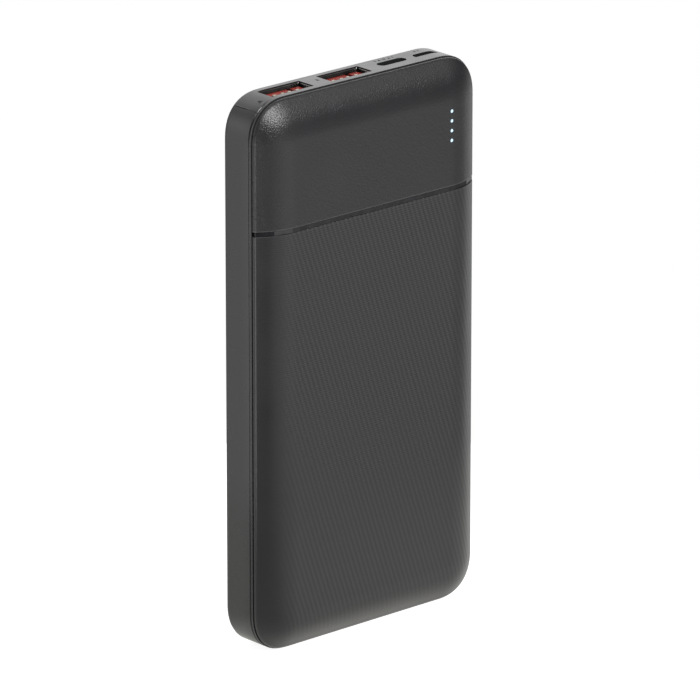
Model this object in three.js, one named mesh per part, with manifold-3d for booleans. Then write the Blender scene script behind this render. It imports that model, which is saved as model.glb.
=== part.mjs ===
// A slim power bank that stands on its bottom edge: a straight middle band closed by two domed
// covers, four charging ports in the top edge, four charge lights in the front cover, a button on
// the right side, and the battery cells and circuit board that it holds.
//
// Millimetres. X is the width, -Y the front, +Z up. The origin is under the middle of the base.

import * as THREE from 'three';
import { mergeVertices } from 'three/addons/utils/BufferGeometryUtils.js';
import Module from 'manifold-3d';

const wasm = await Module();
wasm.setup();

// ---- Driving dimensions -------------------------------------------------------------------

const WIDTH = 68.4;
const HEIGHT = 134.2;
const BAND_DEPTH = 8.6; // the straight middle part
const DOME_DEPTH = 4.3; // each cover, in front of and behind the band
const CORNER_RADIUS = 10.7;
const CORNER_POWER = 2.37; // 2 is a circular corner, more is squarer
const CORNER_STEPS = 8;
const WALL = 1.4;
const CLEARANCE = 0.3; // between pieces that meet inside the case
const SEAM = 0.25; // the shadow line between the covers and the band
const FIT = 0.1; // round pieces that sit in a hole of the case

// The cover's section, as [inset from the side, rise above the band], from its edge inwards:
// a short upright edge, a steep facet, a gentle facet and the flat front.
const EDGE_INSET = 0.3;
const FOLD_INSET = 4.35;
const FLAT_INSET = 9.05;
const EDGE_RISE = 0.82;
const FOLD_RISE = DOME_DEPTH - 0.65;
const EDGE_FILLET = 0.55;
const FOLD_FILLET = 5;
const FLAT_FILLET = 11;

// The rim of each cover that plugs into the band.
const RIM_INSET = WALL + CLEARANCE;
const RIM_WALL = 1.0;
const RIM_DEPTH = 0.9;

// The glossy strip across the front, and its groove.
const STRIP_TOP = 103.8;
const STRIP_HEIGHT = 1.25;
const GROOVE_DEPTH = 0.9;
const STRIP_RECESS = 0.12;
const STRIP_THICKNESS = 0.6;

// Ports, all on the middle plane of the case: centres across the width.
const USB_A_PLACES = [-19.8, -1.8];
const USB_C_X = 12.9;
const MICRO_X = 23.1;

// Charge lights, in a column on the front.
const LIGHT_X = 24.2;
const LIGHT_TOP_Z = 121.9;
const LIGHT_PITCH = 2.37;
const LIGHT_COUNT = 4;
const LIGHT_RADIUS = 0.5;

// Button on the right side.
const BUTTON_Z = 112;
const BUTTON_LENGTH = 9;
const BUTTON_WIDTH = 3.4;
const BUTTON_TRAVEL = 0.3;

// Circuit board, parallel to the front, behind the ports.
const BOARD_WIDTH = 60;
const BOARD_LOW_Z = 105.5;
const BOARD_HIGH_Z = 131;
const BOARD_FRONT_Y = 3.15;
const BOARD_THICKNESS = 1;
const BOARD_CORNER = 7;

// Battery cells, one in front of the other.
const CELL_WIDTH = 58;
const CELL_HEIGHT = 94;
const CELL_THICKNESS = 5.8;
const CELL_LOW_Z = 4.6;
const CELL_GAP = 0.5;

const BAND_FRONT = BAND_DEPTH / 2;
const CASE_FRONT = BAND_FRONT + DOME_DEPTH;
const CORNER_X = WIDTH / 2 - CORNER_RADIUS;
const CORNER_Z = HEIGHT / 2 - CORNER_RADIUS;
const MIDDLE_Z = HEIGHT / 2;
const TOP = HEIGHT;
const SIDE = WIDTH / 2;

// ---- Materials ----------------------------------------------------------------------------

function material(color, roughness, metalness = 0) {
  return new THREE.MeshStandardMaterial({ color, roughness, metalness });
}

const MATERIAL = {
  case: material(0x3a3a3c, 0.55),
  band: material(0x434345, 0.5),
  gloss: material(0x151517, 0.12),
  button: material(0x38383a, 0.45),
  light: material(0xe4efff, 0.2),
  steel: material(0xb9bcc0, 0.3, 1),
  tongue: material(0xc8401f, 0.45),
  blackPlastic: material(0x17171a, 0.5),
  contact: material(0xd8b25a, 0.3, 1),
  board: material(0x1c5a34, 0.4),
  chip: material(0x1d1d20, 0.55),
  ferrite: material(0x4b4d50, 0.6),
  led: material(0xf3f1d8, 0.3),
  pouch: material(0xb4b8bd, 0.35, 1),
  tape: material(0xd9a441, 0.4),
  foam: material(0x2a2a2c, 0.95),
  nickel: material(0xc9c8c2, 0.35, 1),
  redWire: material(0xb3201c, 0.5),
  blackWire: material(0x151515, 0.5),
};

// ---- Solids -------------------------------------------------------------------------------

// A closed solid that can be joined and cut, from a closed geometry.
function solid(geometry) {
  const bare = geometry.index ? geometry.toNonIndexed() : geometry.clone();
  bare.deleteAttribute('normal');
  bare.deleteAttribute('uv');
  const merged = mergeVertices(bare, 1e-4);
  return new wasm.Manifold(new wasm.Mesh({
    numProp: 3,
    vertProperties: new Float32Array(merged.attributes.position.array),
    triVerts: new Uint32Array(merged.index.array),
  }));
}

function geometryOf(body) {
  const mesh = body.getMesh();
  const geometry = new THREE.BufferGeometry();
  geometry.setAttribute('position', new THREE.BufferAttribute(mesh.vertProperties, 3));
  geometry.setIndex(new THREE.BufferAttribute(mesh.triVerts, 1));
  geometry.computeVertexNormals();
  return geometry;
}

function joined(first, ...others) {
  return others.reduce((total, other) => total.add(other), first);
}

function cut(first, ...others) {
  return others.reduce((total, other) => total.subtract(other), first);
}

// A box between two corners.
function block(low, high) {
  const size = high.map((value, axis) => value - low[axis]);
  const geometry = new THREE.BoxGeometry(...size);
  geometry.translate(...low.map((value, axis) => value + size[axis] / 2));
  return solid(geometry);
}

// An extrusion drawn in the front plane (x, z) that runs from frontY back to rearY.
function standing(shape, frontY, rearY) {
  const geometry = new THREE.ExtrudeGeometry(shape, { depth: rearY - frontY, bevelEnabled: false });
  geometry.rotateX(Math.PI / 2);
  geometry.translate(0, rearY, 0);
  return solid(geometry);
}

// An extrusion drawn in the plan plane (x, y) that rises from lowZ to highZ.
function rising(shape, lowZ, highZ) {
  const geometry = new THREE.ExtrudeGeometry(shape, { depth: highZ - lowZ, bevelEnabled: false });
  geometry.translate(0, 0, lowZ);
  return solid(geometry);
}

// A plan rectangle with rounded corners, centred on x and y.
function roundedRectangle(x, y, width, depth, radius, steps = 3) {
  const shape = new THREE.Shape();
  const corners = [[1, 1, 0], [-1, 1, 1], [-1, -1, 2], [1, -1, 3]];
  const points = corners.flatMap(([sx, sy, quarter]) => {
    const cx = x + sx * (width / 2 - radius);
    const cy = y + sy * (depth / 2 - radius);
    return Array.from({ length: steps + 1 }, (_, i) => {
      const angle = (quarter + i / steps) * Math.PI / 2;
      return new THREE.Vector2(cx + radius * Math.cos(angle), cy + radius * Math.sin(angle));
    });
  });
  shape.setFromPoints(points);
  return shape;
}

// An extrusion drawn in the side plane (y, z) that runs across from lowX to highX.
function sideways(shape, lowX, highX) {
  const geometry = new THREE.ExtrudeGeometry(shape, { depth: highX - lowX, bevelEnabled: false });
  geometry.rotateY(Math.PI / 2);
  geometry.rotateX(Math.PI / 2);
  geometry.translate(lowX, 0, 0);
  return solid(geometry);
}

// A round bar from front to rear, at a place across the width and a height.
function barThrough(x, z, radius, frontY, rearY, sides = 12) {
  const geometry = new THREE.CylinderGeometry(radius, radius, rearY - frontY, sides);
  geometry.translate(x, (frontY + rearY) / 2, z);
  return solid(geometry);
}

// A round bar across the width, at a depth and a height.
function barAcross(y, z, radius, lowX, highX, sides = 16) {
  const geometry = new THREE.CylinderGeometry(radius, radius, highX - lowX, sides);
  geometry.rotateZ(Math.PI / 2);
  geometry.translate((lowX + highX) / 2, y, z);
  return solid(geometry);
}

// A wire of the radius given along a soft curve through points.
function wire(points, radius) {
  const path = new THREE.CatmullRomCurve3(points.map((point) => new THREE.Vector3(...point)));
  const section = new THREE.Shape();
  section.absarc(0, 0, radius, 0, 2 * Math.PI);
  return solid(new THREE.ExtrudeGeometry(section, {
    steps: 14,
    curveSegments: 4,
    bevelEnabled: false,
    extrudePath: path,
  }));
}

// ---- The case outline ---------------------------------------------------------------------

// The outline from the front, anticlockwise about the middle of the case, with soft corners.
function caseOutline() {
  const quadrants = [[1, 1], [-1, 1], [-1, -1], [1, -1]];
  return quadrants.flatMap(([sideX, sideZ], quadrant) => {
    const forwards = quadrant % 2 === 0;
    return Array.from({ length: CORNER_STEPS + 1 }, (_, i) => {
      const turn = (forwards ? i : CORNER_STEPS - i) / CORNER_STEPS * Math.PI / 2;
      const x = CORNER_X + CORNER_RADIUS * Math.abs(Math.cos(turn)) ** (2 / CORNER_POWER);
      const z = CORNER_Z + CORNER_RADIUS * Math.abs(Math.sin(turn)) ** (2 / CORNER_POWER);
      return new THREE.Vector2(sideX * x, sideZ * z);
    });
  });
}

// A solid that follows the case outline through levels of [inset, forward], where forward is
// measured towards the front from the middle plane. Corners shrink towards their own centres.
function outlineLoft(levels) {
  const steps = levels.length - 1;
  const shape = new THREE.Shape(caseOutline());
  const geometry = new THREE.ExtrudeGeometry(shape, { depth: steps, steps, bevelEnabled: false });
  const position = geometry.attributes.position;
  for (let i = 0; i < position.count; i += 1) {
    const [inset, forward] = levels[Math.round(position.getZ(i))];
    const shrink = 1 - inset / CORNER_RADIUS;
    const centreX = Math.sign(position.getX(i)) * CORNER_X;
    const centreZ = Math.sign(position.getY(i)) * CORNER_Z;
    const x = centreX + (position.getX(i) - centreX) * shrink;
    const z = centreZ + (position.getY(i) - centreZ) * shrink;
    position.setXYZ(i, x, -forward, MIDDLE_Z + z);
  }
  return solid(geometry);
}

// A section of straight runs whose inner corners are rounded by the radii given.
function roundedSection(corners, radii, steps = 3) {
  const points = corners.map(([inset, forward]) => new THREE.Vector2(inset, forward));
  const section = [corners[0]];
  radii.forEach((radius, i) => {
    const corner = points[i + 1];
    const before = points[i].clone().sub(corner).normalize();
    const after = points[i + 2].clone().sub(corner).normalize();
    const half = Math.acos(before.dot(after)) / 2;
    const reach = radius / Math.tan(half);
    const start = corner.clone().addScaledVector(before, reach);
    const end = corner.clone().addScaledVector(after, reach);
    const curve = new THREE.QuadraticBezierCurve(start, corner, end);
    curve.getPoints(steps).forEach((point) => section.push([point.x, point.y]));
  });
  return section;
}

// ---- Covers -------------------------------------------------------------------------------

// The domed cover as it lies at the front: an outer skin, a rim inside the band, and a hollow.
function coverSolid() {
  const skin = outlineLoft(roundedSection([
    [EDGE_INSET, BAND_FRONT + SEAM],
    [EDGE_INSET, BAND_FRONT + EDGE_RISE],
    [FOLD_INSET, BAND_FRONT + FOLD_RISE],
    [FLAT_INSET, CASE_FRONT],
    [CORNER_RADIUS, CASE_FRONT],
  ], [EDGE_FILLET, FOLD_FILLET, FLAT_FILLET]));
  const rim = outlineLoft([
    [RIM_INSET, BAND_FRONT - RIM_DEPTH],
    [RIM_INSET, BAND_FRONT + EDGE_RISE],
  ]);
  const hollowInset = RIM_INSET + RIM_WALL;
  const hollow = outlineLoft([
    [hollowInset, BAND_FRONT - RIM_DEPTH - 1],
    [hollowInset, BAND_FRONT + EDGE_RISE + 0.4],
    [FOLD_INSET + 0.65, BAND_FRONT + FOLD_RISE - 1.2],
    [FLAT_INSET + 0.25, CASE_FRONT - WALL],
  ]);
  return cut(joined(skin, rim), hollow);
}

// The faceted path across the front that the strip and its groove follow, set back by `depth`
// and started `sideInset` in from the sides.
function facetPath(depth, sideInset) {
  const steepness = (FOLD_RISE - EDGE_RISE) / (FOLD_INSET - EDGE_INSET);
  const startRise = EDGE_RISE + steepness * (sideInset - EDGE_INSET);
  const half = [
    [SIDE - sideInset, BAND_FRONT + startRise - depth],
    [SIDE - FOLD_INSET, BAND_FRONT + FOLD_RISE - depth],
    [SIDE - FLAT_INSET, CASE_FRONT - depth],
  ];
  const right = half.map(([x, forward]) => new THREE.Vector2(x, -forward));
  const left = half.map(([x, forward]) => new THREE.Vector2(-x, -forward)).reverse();
  return [...right, ...left];
}

function stripSolid() {
  const front = facetPath(STRIP_RECESS, EDGE_INSET + 0.25);
  const back = facetPath(STRIP_RECESS + STRIP_THICKNESS, EDGE_INSET + 0.25).reverse();
  return rising(new THREE.Shape([...front, ...back]), STRIP_TOP - STRIP_HEIGHT + FIT, STRIP_TOP - FIT);
}

function grooveTool() {
  const shape = new THREE.Shape([
    new THREE.Vector2(-SIDE - 2, -CASE_FRONT - 2),
    new THREE.Vector2(SIDE + 2, -CASE_FRONT - 2),
    ...facetPath(GROOVE_DEPTH, -0.2),
  ]);
  return rising(shape, STRIP_TOP - STRIP_HEIGHT, STRIP_TOP);
}

function lightHeights() {
  return Array.from({ length: LIGHT_COUNT }, (_, i) => LIGHT_TOP_Z - i * LIGHT_PITCH);
}

function frontCoverSolid() {
  const holes = lightHeights().map((z) => (
    barThrough(LIGHT_X, z, LIGHT_RADIUS + FIT, -CASE_FRONT - 1, -CASE_FRONT + WALL + 1)
  ));
  return cut(coverSolid(), grooveTool(), ...holes);
}

function rearCoverSolid() {
  return coverSolid().rotate([0, 0, 180]);
}

// ---- Middle band --------------------------------------------------------------------------

function bandRing() {
  const outside = outlineLoft([[0, -BAND_FRONT], [0, BAND_FRONT]]);
  const inside = outlineLoft([[WALL, -BAND_FRONT - 1], [WALL, BAND_FRONT + 1]]);
  return cut(outside, inside);
}

// The region above the two seams, which run out at 45 degrees from the upper corners' centres.
function aboveSeams(lift) {
  const reach = 2 * CORNER_RADIUS;
  const low = MIDDLE_Z + CORNER_Z + lift;
  const shape = new THREE.Shape([
    new THREE.Vector2(-CORNER_X, low),
    new THREE.Vector2(CORNER_X, low),
    new THREE.Vector2(CORNER_X + reach, low + reach),
    new THREE.Vector2(-CORNER_X - reach, low + reach),
  ]);
  return standing(shape, -BAND_FRONT - 1, BAND_FRONT + 1);
}

function stadium(y, z, width, length) {
  return roundedRectangle(y, z, width, length, width / 2 - 0.01, 5);
}

function sideBandSolid() {
  const opening = sideways(
    stadium(0, BUTTON_Z, BUTTON_WIDTH + 2 * FIT, BUTTON_LENGTH + 2 * FIT),
    SIDE - WALL - 1,
    SIDE + 1,
  );
  return cut(bandRing(), aboveSeams(-FIT), opening);
}

// The narrow port's mouth: flat towards the front, with its rear corners cut off.
function microMouth(grow) {
  const half = 3.45 + grow;
  const front = -0.95 - grow;
  const rear = 0.95 + grow;
  return new THREE.Shape([
    new THREE.Vector2(MICRO_X - half, front),
    new THREE.Vector2(MICRO_X + half, front),
    new THREE.Vector2(MICRO_X + half, rear - 0.85),
    new THREE.Vector2(MICRO_X + half - 0.75, rear),
    new THREE.Vector2(MICRO_X - half + 0.75, rear),
    new THREE.Vector2(MICRO_X - half, rear - 0.85),
  ]);
}

// Sizes of the sockets' metal shells and mouths.
const USB_A = { width: 13.1, depth: 5.72, metal: 0.3, length: 14, tongueWidth: 11.1 };
const USB_C = { width: 8.94, depth: 3.2, metal: 0.3, length: 7.3 };
const MICRO_LENGTH = 5.2;
const MICRO_TOP = TOP - WALL - CLEARANCE - 0.5; // clear of the case's rounded corner
const SHELL_RECESS = 0.1; // of the wide sockets' rims below the top face
const TONGUE_RECESS = 1.0;

function portPanelSolid() {
  const lowZ = TOP - WALL - 1;
  const highZ = TOP + 1;
  const wideMouths = USB_A_PLACES.map((x) => (
    rising(roundedRectangle(x, 0, USB_A.width + 2 * FIT, USB_A.depth + 2 * FIT, 0.5), lowZ, highZ)
  ));
  const ovalMouth = rising(roundedRectangle(USB_C_X, 0, 8.4, 2.6, 1.29, 5), lowZ, highZ);
  const narrowMouth = rising(microMouth(0), lowZ, highZ);
  return cut(bandRing().intersect(aboveSeams(FIT)), ...wideMouths, ovalMouth, narrowMouth);
}

// ---- Button and its switch ----------------------------------------------------------------

const FLANGE_THICKNESS = 0.5;
const STEM_LENGTH = 1.2;
const PLUNGER_RADIUS = 0.9;
const SWITCH_SIDE = SIDE - 4.2; // the face of the switch that its plunger leaves

function buttonSolid() {
  const flangeX = SIDE - WALL - CLEARANCE;
  const cap = sideways(stadium(0, BUTTON_Z, BUTTON_WIDTH, BUTTON_LENGTH), flangeX - 0.1, SIDE);
  const flange = sideways(
    stadium(0, BUTTON_Z, BUTTON_WIDTH + 1.4, BUTTON_LENGTH + 1.4),
    flangeX - FLANGE_THICKNESS,
    flangeX,
  );
  const stem = barAcross(0, BUTTON_Z, PLUNGER_RADIUS, flangeX - STEM_LENGTH, flangeX - 0.1);
  return joined(cap, flange, stem);
}

function switchPlungerSolid() {
  const outerEnd = SIDE - WALL - CLEARANCE - STEM_LENGTH - FIT;
  return barAcross(0, BUTTON_Z, PLUNGER_RADIUS, SWITCH_SIDE - 0.8, outerEnd);
}

function switchBodySolid() {
  const body = block([SWITCH_SIDE - 3.4, -1.6, BUTTON_Z - 3], [SWITCH_SIDE, 2.85, BUTTON_Z + 3]);
  const bore = barAcross(0, BUTTON_Z, PLUNGER_RADIUS + FIT, SWITCH_SIDE - 1.5, SWITCH_SIDE + 1);
  return cut(body, bore);
}

// ---- Charge lights ------------------------------------------------------------------------

const LED_FRONT_Y = 2.05;

// A clear comb: four round pins that reach the front, on one bar behind the cover.
function lightGuideSolid() {
  const heights = lightHeights();
  const spine = block(
    [LIGHT_X - 1.1, -6.6, heights[LIGHT_COUNT - 1] - 1.3],
    [LIGHT_X + 1.1, -5.4, heights[0] + 1.3],
  );
  const pins = heights.map((z) => (
    barThrough(LIGHT_X, z, LIGHT_RADIUS, -CASE_FRONT + 0.05, LED_FRONT_Y - CLEARANCE)
  ));
  return joined(spine, ...pins);
}

function ledSolid(z) {
  return block(
    [LIGHT_X - 0.8, LED_FRONT_Y, z - 0.5],
    [LIGHT_X + 0.8, BOARD_FRONT_Y - CLEARANCE, z + 0.5],
  );
}

// ---- Ports --------------------------------------------------------------------------------

function usbAShellSolid(x) {
  const high = TOP - SHELL_RECESS;
  const low = high - USB_A.length;
  const outside = rising(roundedRectangle(x, 0, USB_A.width, USB_A.depth, 0.45), low, high);
  const insideShape = roundedRectangle(
    x,
    0,
    USB_A.width - 2 * USB_A.metal,
    USB_A.depth - 2 * USB_A.metal,
    0.2,
    2,
  );
  return cut(outside, rising(insideShape, low + USB_A.metal, high + 1));
}

// The plastic tongue, close to the rear wall, with a slot beside its third contact.
const TONGUE_FRONT_Y = 0.05;
const TONGUE_REAR_Y = 1.9;
const TONGUE_TOP = TOP - TONGUE_RECESS;
const TONGUE_LENGTH = 11.4;

function usbATongueSolid(x) {
  const half = USB_A.tongueWidth / 2;
  const low = TONGUE_TOP - TONGUE_LENGTH;
  const tongue = block([x - half, TONGUE_FRONT_Y, low], [x + half, TONGUE_REAR_Y, TONGUE_TOP]);
  const base = block([x - 5.9, -2.2, low - 1.2], [x + 5.9, 2.2, low + 0.5]);
  const slot = block([x + 1.75, -1, TONGUE_TOP - 2.5], [x + 2.85, 3, TONGUE_TOP + 1]);
  return cut(joined(tongue, base), slot);
}

const CONTACT_PLACES = [-3.5, -1, 1, 3.5];

function usbAContactSolid(x, place) {
  const middle = x + place;
  const rearY = TONGUE_FRONT_Y - 0.1;
  const low = TONGUE_TOP - TONGUE_LENGTH + 0.8;
  const strip = block([middle - 0.45, rearY - 0.3, low], [middle + 0.45, rearY, TONGUE_TOP - 0.3]);
  const spring = barAcross(rearY - 0.3, TONGUE_TOP - 3.4, 0.35, middle - 0.45, middle + 0.45, 10);
  return joined(strip, spring);
}

function usbCShellSolid() {
  const high = TOP - WALL - CLEARANCE;
  const low = high - USB_C.length;
  const { width, depth, metal } = USB_C;
  const outside = rising(roundedRectangle(USB_C_X, 0, width, depth, depth / 2 - 0.01, 6), low, high);
  const inDepth = depth - 2 * metal;
  const insideShape = roundedRectangle(USB_C_X, 0, width - 2 * metal, inDepth, inDepth / 2 - 0.01, 6);
  return cut(outside, rising(insideShape, low + metal, high + 1));
}

function usbCTongueSolid() {
  const high = TOP - WALL - CLEARANCE - 0.9;
  const low = TOP - WALL - CLEARANCE - USB_C.length + USB_C.metal + 0.1;
  const blade = block([USB_C_X - 3.3, -0.35, low], [USB_C_X + 3.3, 0.35, high]);
  const root = block([USB_C_X - 3.4, -1, low], [USB_C_X + 3.4, 1, low + 1.4]);
  return joined(blade, root);
}

function microShellSolid() {
  const low = MICRO_TOP - MICRO_LENGTH;
  const outside = rising(microMouth(0.3), low, MICRO_TOP);
  return cut(outside, rising(microMouth(0), low + 0.3, MICRO_TOP + 1));
}

function microTongueSolid() {
  const low = MICRO_TOP - MICRO_LENGTH + 0.4;
  return block([MICRO_X - 1.8, 0.05, low], [MICRO_X + 1.8, 0.65, MICRO_TOP - 0.7]);
}

// ---- Circuit board ------------------------------------------------------------------------

const BOARD_REAR_Y = BOARD_FRONT_Y + BOARD_THICKNESS;
const PART_REAR_Y = BOARD_FRONT_Y - CLEARANCE; // rear faces of the parts on the board
const SCREW_PLACES = [[-26.5, 110], [12.5, 110]];
const SCREW_RADIUS = 0.8;

function boardSolid() {
  const middle = (BOARD_LOW_Z + BOARD_HIGH_Z) / 2;
  const outline = roundedRectangle(0, middle, BOARD_WIDTH, BOARD_HIGH_Z - BOARD_LOW_Z, BOARD_CORNER, 5);
  const holes = SCREW_PLACES.map(([x, z]) => (
    barThrough(x, z, SCREW_RADIUS + 0.2, BOARD_FRONT_Y - 1, BOARD_REAR_Y + 1)
  ));
  return cut(standing(outline, BOARD_FRONT_Y, BOARD_REAR_Y), ...holes);
}

function screwSolid([x, z]) {
  const head = barThrough(x, z, 1.6, PART_REAR_Y - 1, PART_REAR_Y);
  const shank = barThrough(x, z, SCREW_RADIUS, PART_REAR_Y - 0.5, BOARD_REAR_Y + 1.6);
  const slot = block([x - 1, PART_REAR_Y - 2, z - 0.2], [x + 1, PART_REAR_Y - 0.6, z + 0.2]);
  const crossSlot = block([x - 0.2, PART_REAR_Y - 2, z - 1], [x + 0.2, PART_REAR_Y - 0.6, z + 1]);
  return cut(joined(head, shank), slot, crossSlot);
}

function chipSolid(x, z, size, thickness) {
  const half = size / 2;
  return block([x - half, PART_REAR_Y - thickness, z - half], [x + half, PART_REAR_Y, z + half]);
}

// A wound coil in a square ferrite block with cut corners.
function inductorSolid(x, z) {
  const outline = roundedRectangle(x, z, 7, 7, 1.2, 1);
  return standing(outline, PART_REAR_Y - 3.2, PART_REAR_Y);
}

function capacitorSolid(x, z) {
  return block([x - 1.8, PART_REAR_Y - 2.2, z - 1.4], [x + 1.8, PART_REAR_Y, z + 1.4]);
}

// ---- Battery ------------------------------------------------------------------------------

const CELL_HIGH_Z = CELL_LOW_Z + CELL_HEIGHT;
const TERRACE_HEIGHT = 3.5;
const TAB_X = 13;

// A foil pouch: a soft-edged block with a thin sealed terrace along its top.
function cellSolid(middleY) {
  const section = roundedRectangle(0, middleY, CELL_WIDTH, CELL_THICKNESS, 1.7);
  const pouch = rising(section, CELL_LOW_Z, CELL_HIGH_Z);
  const terrace = block(
    [-CELL_WIDTH / 2 + 1, middleY - 0.25, CELL_HIGH_Z - 0.5],
    [CELL_WIDTH / 2 - 1, middleY + 0.25, CELL_HIGH_Z + TERRACE_HEIGHT],
  );
  return joined(pouch, terrace);
}

const CELL_OFFSET = (CELL_THICKNESS + CELL_GAP) / 2;
const TAB_LOW_Z = CELL_HIGH_Z + TERRACE_HEIGHT + CLEARANCE;
const PROTECTION_Y = -1.2;

// A nickel bridge that joins both cells' terminals above the terraces.
function tabSolid(x) {
  return block([x - 2, -CELL_OFFSET - 0.3, TAB_LOW_Z], [x + 2, CELL_OFFSET + 0.3, TAB_LOW_Z + 0.4]);
}

function protectionBoardSolid() {
  const low = TAB_LOW_Z + 0.4 + CLEARANCE;
  return block([-18, PROTECTION_Y - 1.7, low], [18, PROTECTION_Y + 1.7, low + 0.8]);
}

const LEAD_RADIUS = 0.65;
const LEAD_LOW_Z = TAB_LOW_Z + 0.4 + CLEARANCE + 0.8 + CLEARANCE;

function leadSolid(side) {
  const x = side * 15;
  return wire([
    [x, PROTECTION_Y, LEAD_LOW_Z],
    [x, PROTECTION_Y, LEAD_LOW_Z + 1.5],
    [x - side * 3, PROTECTION_Y + 0.8, LEAD_LOW_Z + 4],
    [x - side * 6, PROTECTION_Y + 2.2, LEAD_LOW_Z + 5.5],
    [x - side * 7, PART_REAR_Y - LEAD_RADIUS - 0.1, LEAD_LOW_Z + 7.5],
  ], LEAD_RADIUS);
}

function foamPadSolid(facing) {
  const near = facing * (CELL_OFFSET + CELL_THICKNESS / 2 + CLEARANCE);
  const far = facing * (CASE_FRONT - WALL - CLEARANCE);
  const outline = roundedRectangle(0, 52, 46, 70, 3);
  return standing(outline, Math.min(near, far), Math.max(near, far));
}

// ---- Assembly -----------------------------------------------------------------------------

const powerBank = new THREE.Group();

function add(name, body, look) {
  const mesh = new THREE.Mesh(geometryOf(body), look);
  mesh.name = name;
  powerBank.add(mesh);
}

add('front_cover', frontCoverSolid(), MATERIAL.case);
add('rear_cover', rearCoverSolid(), MATERIAL.case);
add('side_band', sideBandSolid(), MATERIAL.band);
add('port_panel', portPanelSolid(), MATERIAL.band);
add('accent_strip', stripSolid(), MATERIAL.gloss);
add('power_button', buttonSolid(), MATERIAL.button);
add('switch_plunger', switchPlungerSolid(), MATERIAL.blackPlastic);
add('switch_body', switchBodySolid(), MATERIAL.steel);
add('light_guide', lightGuideSolid(), MATERIAL.light);
lightHeights().forEach((z, i) => add(`charge_led_${i + 1}`, ledSolid(z), MATERIAL.led));

USB_A_PLACES.forEach((x, port) => {
  const name = `usb_a_${port + 1}`;
  add(`${name}_shell`, usbAShellSolid(x), MATERIAL.steel);
  add(`${name}_tongue`, usbATongueSolid(x), MATERIAL.tongue);
  CONTACT_PLACES.forEach((place, i) => {
    add(`${name}_contact_${i + 1}`, usbAContactSolid(x, place), MATERIAL.contact);
  });
});
add('usb_c_shell', usbCShellSolid(), MATERIAL.steel);
add('usb_c_tongue', usbCTongueSolid(), MATERIAL.blackPlastic);
add('micro_usb_shell', microShellSolid(), MATERIAL.steel);
add('micro_usb_tongue', microTongueSolid(), MATERIAL.blackPlastic);

add('main_board', boardSolid(), MATERIAL.board);
SCREW_PLACES.forEach((place, i) => add(`board_screw_${i + 1}`, screwSolid(place), MATERIAL.steel));
add('charger_chip', chipSolid(-13, 112, 4.5, 1), MATERIAL.chip);
add('controller_chip', chipSolid(5, 114, 5, 0.9), MATERIAL.chip);
add('inductor', inductorSolid(-20, 114), MATERIAL.ferrite);
[[12, 121], [17.5, 121]].forEach(([x, z], i) => {
  add(`capacitor_${i + 1}`, capacitorSolid(x, z), MATERIAL.contact);
});

add('battery_cell_front', cellSolid(-CELL_OFFSET), MATERIAL.pouch);
add('battery_cell_rear', cellSolid(CELL_OFFSET), MATERIAL.pouch);
add('positive_tab', tabSolid(-TAB_X), MATERIAL.nickel);
add('negative_tab', tabSolid(TAB_X), MATERIAL.nickel);
add('protection_board', protectionBoardSolid(), MATERIAL.board);
add('positive_lead', leadSolid(-1), MATERIAL.redWire);
add('negative_lead', leadSolid(1), MATERIAL.blackWire);
add('foam_pad_front', foamPadSolid(-1), MATERIAL.foam);
add('foam_pad_rear', foamPadSolid(1), MATERIAL.foam);

export default powerBank;
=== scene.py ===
"""The looks of a slim power bank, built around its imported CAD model.

The object stands upright on a pale floor. Its lengths are millimetres in the CAD's own frame
(X width, -Y front, +Z up) and become metres when a mesh is made. The camera and the light are
placed in metres.
"""
import math

import bpy
import bmesh
import numpy as np
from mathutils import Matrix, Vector


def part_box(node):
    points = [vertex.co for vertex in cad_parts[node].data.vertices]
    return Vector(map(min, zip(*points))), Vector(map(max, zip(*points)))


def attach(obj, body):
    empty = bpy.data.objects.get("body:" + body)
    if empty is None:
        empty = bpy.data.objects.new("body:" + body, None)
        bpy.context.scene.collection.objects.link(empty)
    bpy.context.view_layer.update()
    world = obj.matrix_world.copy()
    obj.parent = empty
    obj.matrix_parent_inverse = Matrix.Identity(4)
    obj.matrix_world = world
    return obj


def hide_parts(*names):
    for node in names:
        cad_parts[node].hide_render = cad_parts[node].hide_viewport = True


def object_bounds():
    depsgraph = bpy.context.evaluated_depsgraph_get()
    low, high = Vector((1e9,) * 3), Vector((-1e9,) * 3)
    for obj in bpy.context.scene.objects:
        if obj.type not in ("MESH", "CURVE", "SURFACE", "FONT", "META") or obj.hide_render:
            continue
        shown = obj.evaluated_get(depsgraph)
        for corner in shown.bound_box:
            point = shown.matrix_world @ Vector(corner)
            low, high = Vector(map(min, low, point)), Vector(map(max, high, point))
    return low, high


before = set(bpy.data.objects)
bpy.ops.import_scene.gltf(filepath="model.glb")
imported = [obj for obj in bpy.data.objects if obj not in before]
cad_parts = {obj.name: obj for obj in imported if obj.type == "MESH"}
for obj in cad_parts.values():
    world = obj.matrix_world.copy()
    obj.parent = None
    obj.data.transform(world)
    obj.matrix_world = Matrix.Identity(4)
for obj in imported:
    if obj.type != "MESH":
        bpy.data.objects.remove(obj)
cad_low, cad_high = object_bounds()

MM = 0.001

# ---- Sizes from the frame

HALF_WIDTH = cad_high.x / MM
HEIGHT = cad_high.z / MM
CASE_HALF = cad_high.y / MM
BAND_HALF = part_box("side_band")[1][1] / MM
DOME = CASE_HALF - BAND_HALF
MID_Z = HEIGHT / 2

# ---- The case's shape, as the CAD has it
# Insets run inwards from the case's outline. Rises run forwards from the band's edge.

CORNER_RADIUS = 10.7
CORNER_POWER = 2.37
WALL = 1.4
SEAM = 0.17
EDGE_INSET = 0.3
FOLD_INSET = 4.35
FLAT_INSET = 9.05
EDGE_RISE = 0.82
FOLD_DROP = 0.65
FOLD_RISE = DOME - FOLD_DROP
FILLETS = (0.9, 13, 14)
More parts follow.
